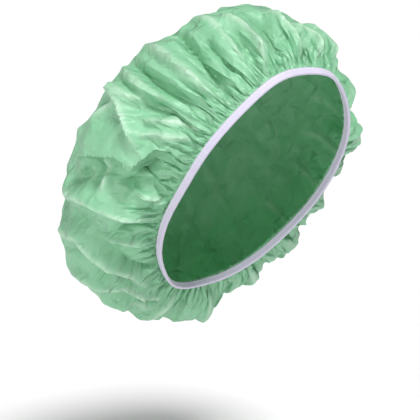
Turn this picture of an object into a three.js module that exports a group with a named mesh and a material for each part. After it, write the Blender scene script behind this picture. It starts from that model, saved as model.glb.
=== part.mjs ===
// A bouffant shower cap: a disc of thin green film whose edge is gathered, about three
// to one, into a narrow elastic binding. It has the form that it takes on a head.
// Millimetres. +X is the wearer's left, -Y the face, +Z up.
// The origin is the centre of the opening that the head goes in by.
import * as THREE from 'three';

// ---------------------------------------------------------------- driving sizes

const OPENING_TILT = 36; // degrees that the opening leans back from the horizontal
const FILM_WALL = 1.5; // the film, with the body that its creases give it
const GATHERS = 96; // pleats round the binding
const GATHER_HEIGHT = 1.9; // a pleat's ridge or valley, from the surface between them
const GATHER_REACH = 0.15; // share of the way to the crown at which the pleats are gone
const MAIN_COLUMNS = GATHERS; // columns of facets beyond the pleats

const BINDING_WIDTH = 6.5;
const BINDING_LEAF = 0.8; // one layer of the folded tape
const BINDING_COLUMNS = 96;
const BINDING_DROP = 2.0; // from where the film is free down to the binding's edge
const FILM_TUCK = 4.0; // the film's edge inside the fold of the tape
const CLEARANCE = 0.3;

const FILM_COLOUR = 0x9fd6b0;
const BINDING_COLOUR = 0xdfdae8;

// ---------------------------------------------------------------- tables
// turn: degrees round the opening, 0 at the forehead, 90 at the wearer's left,
//   180 at the nape and 270 at the wearer's right.
// rise: share of the way from the opening, 0, to the middle of the disc, 1.
// reach, lift, side: places in the opening's own axes, set out below.

// The binding's loop, from forehead to nape. The other half is its mirror image.
const LOOP = table(['turn', 'side', 'reach', 'lift'], [
  [0, 0, 122, 4],
  [20, 28, 118, 1],
  [40, 52, 94, -3],
  [60, 70, 60, -6],
  [80, 77, 22, -7],
  [100, 77, -18, -5],
  [120, 67, -55, -3],
  [140, 49, -86, -2],
  [160, 27, -110, 2],
  [180, 0, -122, 7],
]);

// The bag's sections, one for each share of the way up.
const SECTIONS = table(
  ['rise', 'front', 'back', 'right', 'left', 'liftFront', 'liftBack', 'liftSide'],
  [
    [0.0, 122, -122, 77, 77, 4, 7, -6],
    [0.1, 129, -149, 99, 106, 28, 2, 8],
    [0.2, 129, -175, 114, 119, 54, 8, 28],
    [0.35, 117, -186, 118, 124, 84, 35, 61],
    [0.5, 86, -179, 106, 113, 105, 72, 89],
    [0.65, 46, -153, 82, 86, 118, 102, 110],
    [0.8, 3, -114, 48, 50, 127, 121, 124],
    [1.0, -54, -54, 0, 0, 130, 130, 130],
  ],
);

// Broad swells and dents of the slack film.
const SWELLS = table(['turn', 'rise', 'radius', 'height'], [
  [332, 0.42, 34, 5],
  [352, 0.24, 30, 2],
  [22, 0.22, 36, -3],
  [46, 0.13, 34, -4],
  [70, 0.1, 22, 8],
  [90, 0.3, 40, -5],
  [115, 0.2, 34, 5],
  [140, 0.36, 42, -6],
  [165, 0.22, 34, 5],
  [196, 0.2, 30, -4],
  [215, 0.25, 52, -7],
  [237, 0.34, 30, 4],
  [316, 0.47, 40, 6],
  [286, 0.5, 27, -11],
  [266, 0.4, 26, -2],
  [300, 0.2, 24, -3],
  [60, 0.5, 44, 5],
  [10, 0.6, 40, -5],
  [200, 0.55, 46, 5],
  [290, 0.7, 36, 5],
  [110, 0.75, 36, -4],
]);

// Folds: each runs from its foot near the binding to its head near the crown, bowed
// sideways by some degrees. Height is positive for a ridge and negative for a valley.
// after and before are its half widths on the side of greater and of smaller turn.
const FOLDS = table(
  ['footTurn', 'footRise', 'headTurn', 'headRise', 'bow', 'height', 'after', 'before'],
  [
    // over the forehead
    [2, 0.02, 358, 0.24, 1, 7, 10, 11],
    [350, 0.04, 352, 0.24, 3, -9, 11, 10],
    [340, 0.02, 341, 0.3, 4, 7, 10, 8],
    [338, 0.04, 337, 0.25, 2, -5, 5, 6],
    [328, 0.06, 331, 0.22, 1, -5, 6, 6],
    [12, 0.02, 7, 0.2, 3, 6, 8, 8],
    [6, 0.02, 4, 0.12, 0, -4, 6, 6],
    [26, 0.03, 22, 0.26, -2, 6, 9, 8],
    [34, 0.03, 33, 0.3, 3, -6, 10, 8],
    // above the right temple
    [334, 0.05, 338, 0.46, 2, 6, 14, 12],
    [321, 0.01, 332, 0.44, 0, -8, 7, 10],
    [317, 0.03, 322, 0.5, 0, 6, 10, 8],
    [312, 0.02, 316, 0.5, -3, -8, 7, 9],
    [309, 0.1, 314, 0.5, -4, 6, 8, 8],
    [303, 0.03, 303, 0.23, 1, -6, 9, 9],
    [304, 0.2, 302, 0.44, -1, 5, 7, 7],
    [289, 0.12, 303, 0.44, 3, 8, 12, 9],
    [300, 0.31, 288, 0.4, 0, 4, 9, 9],
    [304, 0.03, 297, 0.2, 1, 3, 4, 4],
    [300, 0.02, 293, 0.18, 1, 3, 4, 4],
    // the flap over the right ear, the pocket under it and the bulge below
    [289, 0.02, 277, 0.42, 2, 11, 19, 7],
    [285, 0.08, 276, 0.32, 0, -12, 8, 11],
    [270, 0.2, 281, 0.27, 4, 7, 8, 8],
    [268, 0.24, 280, 0.31, 4, -7, 8, 6],
    [277, 0.05, 276, 0.18, 0, -4, 5, 6],
    [271, 0.02, 272, 0.1, 1, 4, 6, 5],
    [274, 0.3, 266, 0.46, 0, 6, 9, 9],
    // behind the right ear
    [260, 0.02, 266, 0.42, 3, 7, 10, 12],
    [243, 0.1, 265, 0.4, 4, 7, 15, 6],
    [238, 0.14, 257, 0.4, 1, -6, 8, 11],
    [258, 0.02, 258, 0.13, 0, -5, 6, 6],
    [246, 0.02, 256, 0.18, 2, 5, 6, 6],
    [222, 0.04, 249, 0.42, 13, 8, 9, 10],
    [214, 0.05, 244, 0.38, 6, 7, 8, 9],
    [226, 0.02, 246, 0.12, 0, -4, 6, 6],
    [218, 0.12, 240, 0.42, 5, -7, 8, 8],
    [205, 0.05, 230, 0.24, 3, 6, 8, 8],
    [196, 0.05, 206, 0.2, 3, -7, 9, 9],
    // the nape
    [186, 0.03, 192, 0.34, 2, 7, 10, 9],
    [177, 0.03, 180, 0.3, 2, -7, 9, 10],
    [168, 0.03, 165, 0.36, -2, 7, 9, 10],
    [158, 0.04, 152, 0.28, -2, -6, 9, 8],
    // behind and over the left ear
    [147, 0.03, 138, 0.4, -3, 8, 9, 10],
    [139, 0.06, 126, 0.34, -2, -7, 9, 8],
    [127, 0.03, 114, 0.44, -3, 7, 10, 9],
    [119, 0.03, 112, 0.24, 0, -6, 8, 8],
    [108, 0.03, 97, 0.4, -3, 8, 8, 12],
    [99, 0.06, 90, 0.3, -1, -9, 9, 8],
    [88, 0.02, 84, 0.44, -3, 8, 9, 13],
    [79, 0.04, 75, 0.26, 0, -7, 9, 8],
    [71, 0.02, 68, 0.42, 2, 7, 9, 10],
    [60, 0.03, 61, 0.3, 2, -7, 9, 9],
    [50, 0.03, 53, 0.44, 2, 7, 10, 9],
    [42, 0.03, 43, 0.28, 1, -5, 8, 8],
    // up to the crown, where the disc is least gathered
    [352, 0.34, 20, 0.78, -6, 7, 15, 13],
    [336, 0.5, 300, 0.9, 8, 7, 14, 14],
    [318, 0.46, 285, 0.7, 5, -6, 13, 14],
    [284, 0.58, 250, 0.88, 6, 7, 14, 13],
    [262, 0.5, 232, 0.72, 5, -6, 13, 13],
    [238, 0.46, 205, 0.84, 6, 7, 14, 14],
    [212, 0.38, 186, 0.66, 4, -6, 13, 12],
    [186, 0.4, 160, 0.8, 5, 7, 14, 14],
    [158, 0.42, 132, 0.7, 4, -6, 13, 13],
    [128, 0.48, 100, 0.86, 5, 7, 14, 13],
    [96, 0.46, 70, 0.72, 4, -6, 12, 13],
    [62, 0.48, 40, 0.84, 5, 7, 14, 14],
    [30, 0.36, 12, 0.6, 2, -6, 12, 12],
  ],
);

// Rings of facets in the pleated stretch, and beyond it.
const PLEATED_RISES = [0.012, 0.028, 0.05, 0.08];
const MAIN_RISES = [
  0.11, 0.145, 0.18, 0.215, 0.25, 0.29, 0.335, 0.385, 0.44, 0.51, 0.59, 0.69, 0.8, 0.9,
];

// ---------------------------------------------------------------- small tools

function table(columns, rows) {
  return rows.map((values) => Object.fromEntries(columns.map((name, i) => [name, values[i]])));
}

function clamp01(value) {
  return Math.min(Math.max(value, 0), 1);
}

function smooth(value) {
  const x = clamp01(value);
  return x * x * (3 - 2 * x);
}

// Slope of a column at one row; the ends take the slope of their own interval unless flat.
function slopeAt(rows, key, column, i, flatEnds) {
  const last = rows.length - 1;
  if ((i === 0 && flatEnds.start) || (i === last && flatEnds.end)) return 0;
  const a = rows[Math.max(i - 1, 0)];
  const b = rows[Math.min(i + 1, last)];
  return (b[column] - a[column]) / (b[key] - a[key]);
}

// A smooth curve through one column of a table.
function through(rows, key, column, at, flatEnds = {}) {
  let i = 0;
  while (i < rows.length - 2 && at >= rows[i + 1][key]) i += 1;
  const a = rows[i];
  const b = rows[i + 1];
  const span = b[key] - a[key];
  const s = clamp01((at - a[key]) / span);
  const slopeA = slopeAt(rows, key, column, i, flatEnds) * span;
  const slopeB = slopeAt(rows, key, column, i + 1, flatEnds) * span;
  return (2 * s ** 3 - 3 * s ** 2 + 1) * a[column] + (s ** 3 - 2 * s ** 2 + s) * slopeA
    + (3 * s ** 2 - 2 * s ** 3) * b[column] + (s ** 3 - s ** 2) * slopeB;
}

// ---------------------------------------------------------------- the opening's axes

const tilt = THREE.MathUtils.degToRad(OPENING_TILT);
const SIDE = new THREE.Vector3(1, 0, 0);
const REACH = new THREE.Vector3(0, -Math.sin(tilt), Math.cos(tilt)); // towards the forehead
const LIFT = new THREE.Vector3(0, Math.cos(tilt), Math.sin(tilt)); // out of the opening

function place(side, reach, lift) {
  return new THREE.Vector3()
    .addScaledVector(SIDE, side)
    .addScaledVector(REACH, reach)
    .addScaledVector(LIFT, lift);
}

function loopPlaces(turn) {
  const whole = ((turn % 360) + 360) % 360;
  const mirrored = whole > 180;
  const half = mirrored ? 360 - whole : whole;
  const flat = { start: true, end: true };
  return {
    side: (mirrored ? -1 : 1) * through(LOOP, 'turn', 'side', half),
    reach: through(LOOP, 'turn', 'reach', half, flat),
    lift: through(LOOP, 'turn', 'lift', half, flat),
  };
}

// A point of the loop, and the way straight out from it in the opening's plane.
function loopPoint(turn) {
  const { side, reach, lift } = loopPlaces(turn);
  return place(side, reach, lift);
}

function loopOutward(turn) {
  const along = loopPoint(turn + 1).sub(loopPoint(turn - 1));
  return along.cross(LIFT).normalize().negate();
}

// ---------------------------------------------------------------- the bag's surface

const LOOP_BLEND = 0.22; // share of the way up at which the loop's own outline is lost

// The section's outline at one share of the way up, in the opening's axes.
function sectionPlaces(turn, rise) {
  const angle = THREE.MathUtils.degToRad(turn);
  const c = Math.cos(angle);
  const s = Math.sin(angle);
  const size = (column, flatEnds) => through(SECTIONS, 'rise', column, rise, flatEnds);
  const front = size('front');
  const back = size('back');
  const right = size('right');
  const left = size('left');
  const liftFront = size('liftFront', { end: true });
  const liftBack = size('liftBack', { end: true });
  const liftSide = size('liftSide', { end: true });
  const leftShare = clamp01((s + 0.35) / 0.7);
  const liftMiddle = (liftFront + liftBack) / 2;
  return {
    side: (right + (left - right) * leftShare) * s,
    reach: (front + back) / 2 + ((front - back) / 2) * c,
    lift: liftMiddle + ((liftFront - liftBack) / 2) * c + (liftSide - liftMiddle) * s * s,
  };
}

function smoothPoint(turn, rise) {
  const here = sectionPlaces(turn, rise);
  const foot = sectionPlaces(turn, 0);
  const loop = loopPlaces(turn);
  const share = clamp01(1 - rise / LOOP_BLEND) ** 2;
  return place(
    here.side + (loop.side - foot.side) * share,
    here.reach + (loop.reach - foot.reach) * share,
    here.lift + (loop.lift - foot.lift) * share,
  );
}

function smoothNormal(turn, rise) {
  if (rise > 0.98) return LIFT.clone();
  const step = 0.004;
  const round = smoothPoint(turn + 1, rise).sub(smoothPoint(turn - 1, rise));
  const up = smoothPoint(turn, rise + step).sub(smoothPoint(turn, Math.max(rise - step, 0)));
  return round.cross(up).normalize();
}

// ---------------------------------------------------------------- dents and folds

const FOLD_STEPS = 8;

function foldLine(fold) {
  const points = [];
  for (let i = 0; i <= FOLD_STEPS; i += 1) {
    const s = i / FOLD_STEPS;
    const turnSpan = ((fold.headTurn - fold.footTurn + 540) % 360) - 180;
    const turn = fold.footTurn + turnSpan * s + fold.bow * 4 * s * (1 - s);
    points.push(smoothPoint(turn, fold.footRise + (fold.headRise - fold.footRise) * s));
  }
  return points;
}

const swellPeaks = SWELLS.map((swell) => ({ ...swell, peak: smoothPoint(swell.turn, swell.rise) }));
const foldLines = FOLDS.map((fold) => ({ ...fold, line: foldLine(fold) }));

// The nearest point of a fold's line: how far off, how far along, and on which side.
function nearest(line, point, normal) {
  let best = { distance: Infinity };
  for (let i = 0; i < line.length - 1; i += 1) {
    const along = line[i + 1].clone().sub(line[i]);
    const offset = point.clone().sub(line[i]);
    const s = clamp01(offset.dot(along) / along.lengthSq());
    offset.addScaledVector(along, -s);
    const distance = offset.length();
    if (distance < best.distance) {
      const after = along.cross(offset).dot(normal) < 0;
      best = { distance, along: (i + s) / (line.length - 1), after };
    }
  }
  return best;
}

function foldHeight(fold, point, normal) {
  const { distance, along, after } = nearest(fold.line, point, normal);
  const width = after ? fold.after : fold.before;
  if (distance >= width) return 0;
  const ends = smooth(along / 0.25) * smooth((1 - along) / 0.3);
  return fold.height * ends * (1 - distance / width) ** 1.2;
}

function swellHeight(swell, point) {
  const share = point.distanceTo(swell.peak) / swell.radius;
  return swell.height * Math.exp(-share * share);
}

// How far the slack film stands off the smooth bag.
function reliefHeight(turn, rise) {
  const point = smoothPoint(turn, rise);
  const normal = smoothNormal(turn, rise);
  let height = 0;
  for (const swell of swellPeaks) height += swellHeight(swell, point);
  for (const fold of foldLines) height += foldHeight(fold, point, normal);
  return height * smooth(rise / 0.05);
}

// One pleat is a ridge column and a valley column; no two pleats are quite the same.
function gatherHeight(column, rise) {
  const pleat = Math.floor(column / 2);
  const uneven = 1 + 0.3 * Math.sin(pleat * 2.4) + 0.2 * Math.sin(pleat * 5.1);
  const grown = smooth(rise / 0.03) * (1 - smooth(rise / GATHER_REACH));
  return (column % 2 === 0 ? 1 : -1) * GATHER_HEIGHT * uneven * grown;
}

// ---------------------------------------------------------------- meshes

class Facets {
  constructor() {
    this.points = [];
    this.faces = [];
  }

  add(point) {
    this.points.push(point.x, point.y, point.z);
    return this.points.length / 3 - 1;
  }

  quad(a, b, c, d) {
    this.faces.push(a, b, c, a, c, d);
  }

  // A strip between two closed rings; the second may have half as many points.
  strip(lower, upper) {
    const ratio = lower.length / upper.length;
    for (let i = 0; i < upper.length; i += 1) {
      const next = (i + 1) % upper.length;
      if (ratio === 1) {
        this.quad(lower[i], lower[next], upper[next], upper[i]);
      } else {
        const middle = lower[2 * i + 1];
        this.faces.push(lower[2 * i], middle, upper[i]);
        this.faces.push(middle, upper[next], upper[i]);
        this.faces.push(middle, lower[(2 * i + 2) % lower.length], upper[next]);
      }
    }
  }

  cap(ring, centre) {
    for (let i = 0; i < ring.length; i += 1) {
      this.faces.push(ring[i], ring[(i + 1) % ring.length], centre);
    }
  }

  mesh(name, colour, roughness) {
    const geometry = new THREE.BufferGeometry();
    geometry.setAttribute('position', new THREE.Float32BufferAttribute(this.points, 3));
    geometry.setIndex(this.faces);
    const material = new THREE.MeshStandardMaterial({ color: colour, roughness, metalness: 0 });
    const mesh = new THREE.Mesh(geometry, material);
    mesh.name = name;
    return mesh;
  }
}

// One value for each column round the opening, from the column's number and its turn.
function around(columns, valueAt) {
  return Array.from({ length: columns }, (_, column) => valueAt(column, (360 * column) / columns));
}

// ---------------------------------------------------------------- the film

// The film's rings from its tucked edge to the crown, as pairs of outer and inner point.
function filmRings(facets) {
  const rings = [];
  const addRing = (columns, pairAt) => {
    const pairs = around(columns, pairAt);
    rings.push({
      outer: pairs.map((pair) => facets.add(pair.outer)),
      inner: pairs.map((pair) => facets.add(pair.inner)),
    });
  };
  const pair = (middle, normal) => ({
    outer: middle.clone().addScaledVector(normal, FILM_WALL / 2),
    inner: middle.clone().addScaledVector(normal, -FILM_WALL / 2),
  });
  const pleated = 2 * GATHERS;
  const edgeDrop = BINDING_DROP + FILM_TUCK;
  addRing(pleated, (_, turn) => pair(loopPoint(turn).addScaledVector(LIFT, -edgeDrop), loopOutward(turn)));
  addRing(pleated, (_, turn) => {
    const normal = loopOutward(turn).multiplyScalar(2).add(smoothNormal(turn, 0)).normalize();
    return pair(loopPoint(turn), normal);
  });
  const free = (turn, rise, gather) => {
    const normal = smoothNormal(turn, rise);
    return pair(smoothPoint(turn, rise).addScaledVector(normal, reliefHeight(turn, rise) + gather), normal);
  };
  for (const rise of PLEATED_RISES) {
    addRing(pleated, (column, turn) => free(turn, rise, gatherHeight(column, rise)));
  }
  for (const rise of MAIN_RISES) {
    addRing(MAIN_COLUMNS, (column, turn) => free(turn, rise, gatherHeight(2 * column, rise) * 0.5));
  }
  return rings;
}

function filmCrown() {
  const facets = new Facets();
  const rings = filmRings(facets);
  const reversed = (indices) => [indices[0], ...indices.slice(1).reverse()];
  for (let i = 0; i < rings.length - 1; i += 1) {
    facets.strip(rings[i].outer, rings[i + 1].outer);
    facets.strip(reversed(rings[i].inner), reversed(rings[i + 1].inner));
  }
  const crown = smoothPoint(0, 1);
  const top = rings[rings.length - 1];
  const half = FILM_WALL / 2;
  facets.cap(top.outer, facets.add(crown.clone().addScaledVector(LIFT, half)));
  facets.cap(reversed(top.inner), facets.add(crown.clone().addScaledVector(LIFT, -half)));
  const edge = rings[0];
  for (let i = 0; i < edge.outer.length; i += 1) {
    const next = (i + 1) % edge.outer.length;
    facets.quad(edge.outer[next], edge.outer[i], edge.inner[i], edge.inner[next]);
  }
  return facets.mesh('film_crown', FILM_COLOUR, 0.35);
}

// ---------------------------------------------------------------- the binding

// The tape folded over the film's edge, as a U: its section goes across the fold, up the
// inside, down and up through the slot that holds the film, and down the outside.
function bindingSection() {
  const slotHalf = FILM_WALL / 2 + CLEARANCE;
  const half = slotHalf + BINDING_LEAF;
  const top = -BINDING_DROP;
  const bottom = top - BINDING_WIDTH;
  const slotFloor = -BINDING_DROP - FILM_TUCK - CLEARANCE;
  return table(['out', 'lift'], [
    [half, bottom],
    [-half, bottom],
    [-half, top],
    [-slotHalf, top],
    [-slotHalf, slotFloor],
    [slotHalf, slotFloor],
    [slotHalf, top],
    [half, top],
  ]);
}

function edgeBinding() {
  const facets = new Facets();
  const rings = bindingSection().map(({ out, lift }) => around(BINDING_COLUMNS, (_, turn) => {
    const point = loopPoint(turn).addScaledVector(loopOutward(turn), out);
    return facets.add(point.addScaledVector(LIFT, lift));
  }));
  rings.forEach((lower, i) => facets.strip(lower, rings[(i + 1) % rings.length]));
  return facets.mesh('edge_binding', BINDING_COLOUR, 0.85);
}

// ---------------------------------------------------------------- the cap

const cap = new THREE.Group();
cap.add(filmCrown());
cap.add(edgeBinding());

export default cap;
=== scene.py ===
"""A bouffant shower cap: a disc of thin green film gathered into a narrow elastic binding.

The film is draped by a relaxation of its own: a grid of points keeps the lengths that the
flat disc gives it while it is drawn to the bag's form, so its slack lies in real folds.
"""

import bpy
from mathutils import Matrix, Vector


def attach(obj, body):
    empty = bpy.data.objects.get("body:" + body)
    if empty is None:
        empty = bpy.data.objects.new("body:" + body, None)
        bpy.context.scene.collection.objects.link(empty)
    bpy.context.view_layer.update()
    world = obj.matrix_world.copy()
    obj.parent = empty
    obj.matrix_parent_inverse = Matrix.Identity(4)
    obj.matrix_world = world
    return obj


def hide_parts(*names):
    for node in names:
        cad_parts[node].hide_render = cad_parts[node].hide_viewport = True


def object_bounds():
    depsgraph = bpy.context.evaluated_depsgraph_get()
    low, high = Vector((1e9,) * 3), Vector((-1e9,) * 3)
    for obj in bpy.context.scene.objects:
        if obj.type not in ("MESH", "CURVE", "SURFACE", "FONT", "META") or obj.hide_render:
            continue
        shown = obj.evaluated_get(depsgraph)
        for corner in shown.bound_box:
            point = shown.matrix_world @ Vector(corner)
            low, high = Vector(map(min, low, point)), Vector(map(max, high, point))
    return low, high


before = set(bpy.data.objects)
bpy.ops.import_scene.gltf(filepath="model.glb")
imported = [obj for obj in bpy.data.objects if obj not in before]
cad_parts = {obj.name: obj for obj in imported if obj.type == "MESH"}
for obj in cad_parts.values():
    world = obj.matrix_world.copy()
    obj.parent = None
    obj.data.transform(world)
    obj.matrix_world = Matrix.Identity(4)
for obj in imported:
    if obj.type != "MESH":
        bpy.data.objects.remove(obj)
CAD_BOX = [list(corner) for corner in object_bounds()]

import math
from functools import partial

import bpy
import numpy as np
from numpy.linalg import norm
from bpy.props import FloatProperty, FloatVectorProperty, IntProperty, PointerProperty
from bpy.types import Operator, Panel, PropertyGroup
from mathutils import Vector

bl_info = {
    "name": "Shower Cap",
    "version": (1, 0, 0),
    "blender": (4, 5, 0),
    "location": "3D View > Sidebar > Shower Cap",
    "description": "Makes a bouffant shower cap of gathered film with an elastic binding",
    "category": "Add Mesh",
}

MM = 0.001
DISC_RADIUS = 290.0  # of the flat film, in millimetres; its facets are laid out on this disc


def linear(hex_colour):
    """An sRGB hex colour as linear red, green and blue."""
    parts = [int(hex_colour[i:i + 2], 16) / 255 for i in (1, 3, 5)]
    return [p / 12.92 if p <= 0.04045 else ((p + 0.055) / 1.055) ** 2.4 for p in parts]


def length_setting(name, description, default, low, high):
    """A setting that is a length, given in millimetres."""
    return FloatProperty(name=name, description=description, default=default * MM, min=low * MM,
                         max=high * MM, unit="LENGTH", subtype="DISTANCE")


def colour_setting(name, description, hex_colour):
    return FloatVectorProperty(name=name, description=description, default=linear(hex_colour),
                               size=3, subtype="COLOR", min=0, max=1)


def strength_setting(name, description, default):
    return FloatProperty(name=name, description=description, default=default, min=0, max=20)


# ---- settings


class FilmSettings(PropertyGroup):
    disc_radius: length_setting(
        "Disc radius", "Radius of the flat disc that the film is cut to", DISC_RADIUS, 100, 500)
    thickness: length_setting("Thickness", "Thickness that the film is drawn with", 0.35, 0.05, 2)
    seed: IntProperty(
        name="Seed", description="Chooses where the small gathers lie", default=3, min=0)
    colour: colour_setting("Colour", "Colour of the tinted film", "#8DCCA3")
    # the paler colour of the film's random patches, and of the painted highlight along the crests
    # of its ridges
    patch_and_highlight_colour: colour_setting(
        "Crease colour", "Paler colour of the film where it has been creased", "#CFEBD6")
    light_colour: colour_setting(
        "Light through", "Colour of the light that the film lets through", "#B4F0C6")
    translucency: FloatProperty(
        name="Translucency", description="Share of the light that the film lets through",
        default=0.25, min=0, max=1, subtype="FACTOR")


class BindingSettings(PropertyGroup):
    width: length_setting("Width", "Width of the folded tape", 6.5, 2, 30)
    leaf: length_setting("Layer", "Thickness of one layer of the tape", 0.75, 0.2, 3)
    stitch_pitch: length_setting(
        "Stitch pitch", "Distance from one stitch to the next", 3.0, 1, 10)
    thread: length_setting("Thread", "Diameter of the sewing thread", 0.4, 0.1, 1)
    colour: colour_setting("Tape colour", "Colour of the elastic tape", "#C9C3D8")
    thread_colour: colour_setting("Thread colour", "Colour of the sewing thread", "#E6E1EE")


class StageSettings(PropertyGroup):
    floor_drop: length_setting(
        "Floor drop", "Gap from the cap's lowest point down to the floor", 150, 0, 1000)
    key_strength: strength_setting(
        "Key light", "Strength of the soft light from the upper front", 2.8)
    fill_strength: strength_setting(
        "Fill light", "Strength of the softer light from the wearer's right", 1.05)
    room_strength: strength_setting(
        "Room light", "Strength of the even white light from all round", 0.32)
    floor_colour: colour_setting("Floor colour", "Colour of the floor and backdrop", "#F4F4F4")


# ---- the bag's form
# Millimetres. turn: degrees round the opening, 0 at the forehead, 90 at the wearer's left,
# 180 at the nape. rise: share of the way from the opening, 0, to the disc's middle, 1.
# side, reach (to the forehead) and lift are places along the opening's own axes.

OPENING_TILT = math.radians(36)
SIDE = np.array([1.0, 0.0, 0.0])
REACH = np.array([0.0, -math.sin(OPENING_TILT), math.cos(OPENING_TILT)])
LIFT = np.array([0.0, math.cos(OPENING_TILT), math.sin(OPENING_TILT)])


def table(text):
    """A table as {column name: array of its values}. Its first line names the columns."""
    head, *rows = text.strip().splitlines()
    names = head.split()
    values = " ".join(row.split("#")[0].replace(";", " ") for row in rows).split()
    return dict(zip(names, np.array([float(v) for v in values]).reshape(-1, len(names)).T))


def read_off(rows, column, at):
    """What one column of a table says at these values of its first column."""
    return np.interp(at, next(iter(rows.values())), rows[column])


# The binding's loop, from forehead to nape. The other half mirrors it.
LOOP = table("""
    turn side reach lift
    0 0 122 4; 20 28 118 1; 40 52 94 -3; 60 70 60 -6; 80 77 22 -7; 100 77 -18 -5; 120 67 -55 -3
    140 49 -86 -2; 160 27 -110 2; 180 0 -122 7""")

# The bag's sections, one for each share of the way up.
SECTIONS = table("""
    rise front back right left lift_front lift_back lift_side
    0 122 -122 77 77 4 7 -6
    .1 129 -149 99 106 28 2 8
    .2 129 -175 114 119 54 8 28
    .35 117 -186 118 124 84 35 61
    .5 86 -179 106 113 105 72 89
    .65 46 -153 82 86 118 102 110
    .8 3 -114 48 50 127 121 124
    1 -54 -54 0 0 130 130 130""")

# Broad swells and dents of the slack film.
SWELLS = table("""
    turn rise radius height
    332 .42 34 1; 352 .24 30 2; 22 .22 36 -3; 46 .13 34 -4; 70 .1 22 8; 90 .3 40 -5
    115 .2 34 5; 140 .36 42 -6; 165 .22 34 5; 196 .2 30 -4; 215 .25 52 -7; 237 .34 30 4
    316 .47 40 2; 286 .5 27 -6; 266 .4 26 -2; 300 .2 24 -3; 60 .5 44 5; 10 .6 40 -5
    200 .55 46 5; 290 .7 36 5; 110 .75 36 -4; 352 .46 26 -6; 334 .42 26 -4; 258 .48 18 -7
    279 .5 22 -6""")

# Folds: each runs from its foot near the binding to its head near the crown, bowed sideways by
# some degrees, with its height, negative for a valley, and its half widths on the side of
# greater and of smaller turn.
FOLDS = table("""
    foot_turn foot_rise head_turn head_rise bow height after before
    # over the forehead
    2 .02 358 .24 1 7 10 11; 350 .04 352 .24 3 -9 11 10; 340 .02 341 .3 4 7 10 8
    338 .04 337 .25 2 -5 5 6; 328 .06 331 .22 1 -5 6 6; 12 .02 7 .2 3 6 8 8
    6 .02 4 .12 0 -4 6 6; 26 .03 22 .26 -2 6 9 8; 34 .03 33 .3 3 -6 10 8
    # above the right temple
    334 .05 338 .46 2 4 14 12; 321 .01 332 .44 0 -8 7 10; 317 .03 322 .5 0 6 10 8
    312 .02 316 .5 -3 -8 7 9; 309 .1 314 .5 -4 6 8 8; 303 .03 303 .23 1 -6 9 9
    304 .2 302 .44 -1 5 7 7; 289 .12 303 .44 3 8 12 9; 300 .31 288 .4 0 4 9 9
    304 .03 297 .2 1 3 4 4; 300 .02 293 .18 1 3 4 4
    # under the flap over the right ear
    270 .2 281 .27 4 4 8 8; 268 .24 280 .31 4 -4 8 6; 277 .05 276 .18 0 -4 5 6
    271 .02 272 .1 1 4 6 5; 274 .3 266 .46 0 -5 9 9
    # behind the right ear
    258 .02 258 .13 0 -5 6 6; 246 .02 256 .18 2 5 6 6; 226 .02 246 .12 0 -4 6 6
    196 .05 206 .2 3 -7 9 9
    # the nape
    186 .03 192 .34 2 3.8 10 9; 177 .03 180 .3 2 -3.8 9 10; 168 .03 165 .36 -2 3.8 9 10
    158 .04 152 .28 -2 -3.2 9 8
    # behind and over the left ear
    147 .03 138 .4 -3 4.3 9 10; 139 .06 126 .34 -2 -3.8 9 8; 127 .03 114 .44 -3 3.8 10 9
    119 .03 112 .24 0 -3.2 8 8; 108 .03 97 .4 -3 4.3 8 12; 99 .06 90 .3 -1 -4.9 9 8
    88 .02 84 .44 -3 4.3 9 13; 79 .04 75 .26 0 -3.8 9 8; 71 .02 68 .42 2 3.8 9 10
    60 .03 61 .3 2 -3.8 9 9; 50 .03 53 .44 2 3.8 10 9; 42 .03 43 .28 1 -2.7 8 8
    # up to the crown, where the disc is least gathered
    352 .34 20 .78 -6 7 15 13; 336 .5 300 .9 8 7 14 14; 318 .46 285 .7 5 -4.3 13 14
    284 .58 250 .88 6 5 14 13; 262 .5 232 .72 5 -4.3 13 13; 238 .46 205 .84 6 5 14 14
    212 .38 186 .66 4 -4.3 13 12; 186 .4 160 .8 5 5 14 14; 158 .42 132 .7 4 -4.3 13 13
    128 .48 100 .86 5 5 14 13; 96 .46 70 .72 4 -4.3 12 13; 62 .48 40 .84 5 5 14 14
    30 .36 12 .6 2 -4.3 12 12""")

# Long creases that sweep round behind the right ear: the height, the half widths after and
# before it, and the turns and rises that each passes through from its foot.
SWEEPS = [[np.array(part.split(), float) for part in line.split(":")] for line in """\
6 16 9: 262 .03  264 .08  267 .17  267 .25  262 .43  258 .56
-4 9 12: 226 .05  242 .1  254 .16  259 .22  260 .35  259 .5
6.5 16 9: 205 .04  234 .09  247 .17  253 .26  250 .36  245 .48
-4 9 9: 207 .06  232 .11  243 .2  246 .3  240 .45
6 15 9: 196 .05  205 .07  227 .12  235 .22  236 .34  231 .5
-4 9 10: 198 .09  218 .15  226 .25  224 .4
4.5 12 10: 192 .08  204 .14  214 .24  214 .4  210 .5""".splitlines()]

# The flap over the right ear. By rise: the turn of its lower edge, how far that stands off the
# bag, how deep the pocket under it is, and how far it hangs over.
FLAP = table("""
    rise turn stands pocket over
    .01 290 0 0 0
    .035 291 4 -3 1.5
    .07 293.5 7 -7 4
    .1 292.5 8 -10 6
    .12 289 10 -12 7.5
    .135 285.5 12 -13 8.5
    .165 286 11 -14 7
    .2 286 8.5 -14 6
    .28 282 5 -12 4
    .36 277.5 2 -8 2
    .45 273 0 0 0""")

# Where the sweeps lie, and how far either way, in degrees of turn.
SWEPT_TURN, SWEPT_HALF = 222, 36

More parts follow.
